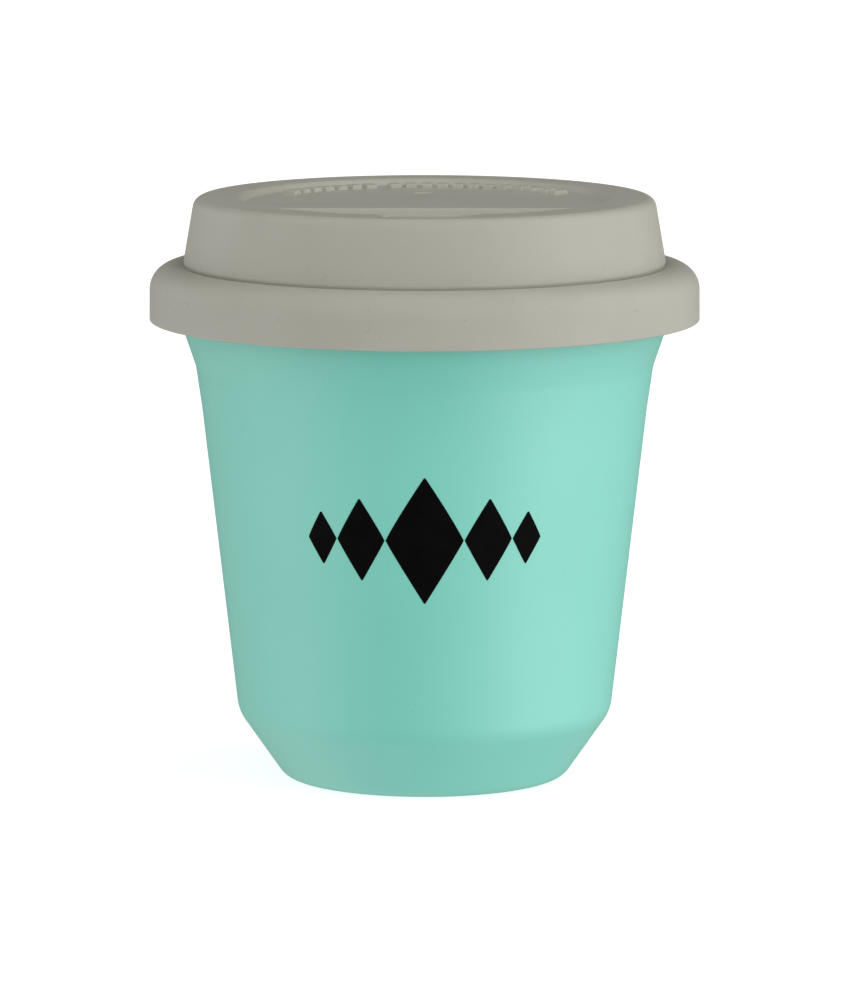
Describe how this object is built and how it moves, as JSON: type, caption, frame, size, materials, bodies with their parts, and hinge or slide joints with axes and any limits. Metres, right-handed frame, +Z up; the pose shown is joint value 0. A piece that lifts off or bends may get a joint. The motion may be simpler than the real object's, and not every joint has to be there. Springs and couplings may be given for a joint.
{
  "type": "reusable takeaway coffee cup",
  "caption": "Tapered double-wall steel takeaway cup with a chamfered foot, a flared mouth and a lift-off silicone lid with a recessed top and sip slot.",
  "frame": {"origin": "centre of the foot, on the surface the cup stands on", "axes": "+Z up along the cup's axis, -Y towards the drinker: the sip slot and the printed ornament are on the -Y side"},
  "size_m": [0.0892, 0.0892, 0.0949],
  "materials": {
    "mint_paint": "satin mint powder paint",
    "steel": "fine satin steel",
    "silicone": "matt warm grey silicone",
    "seal_glass": "solder glass bead",
    "getter": "pressed metal powder"
  },
  "bodies": {
    "cup": {"outer_shell": "mint_paint", "inner_liner": "steel", "bottom_closure": "steel", "bottom_cover": "steel", "vacuum_seal": "seal_glass", "getter_pellet": "getter", "getter_clip": "steel"},
    "lid": {"silicone_lid": "silicone"}
  },
  "joints": [
    {"name": "lid_lift", "type": "slide", "parent": "cup", "child": "lid", "axis": [0, 0, 1], "range_m": [0, 0.06]}
  ]
}
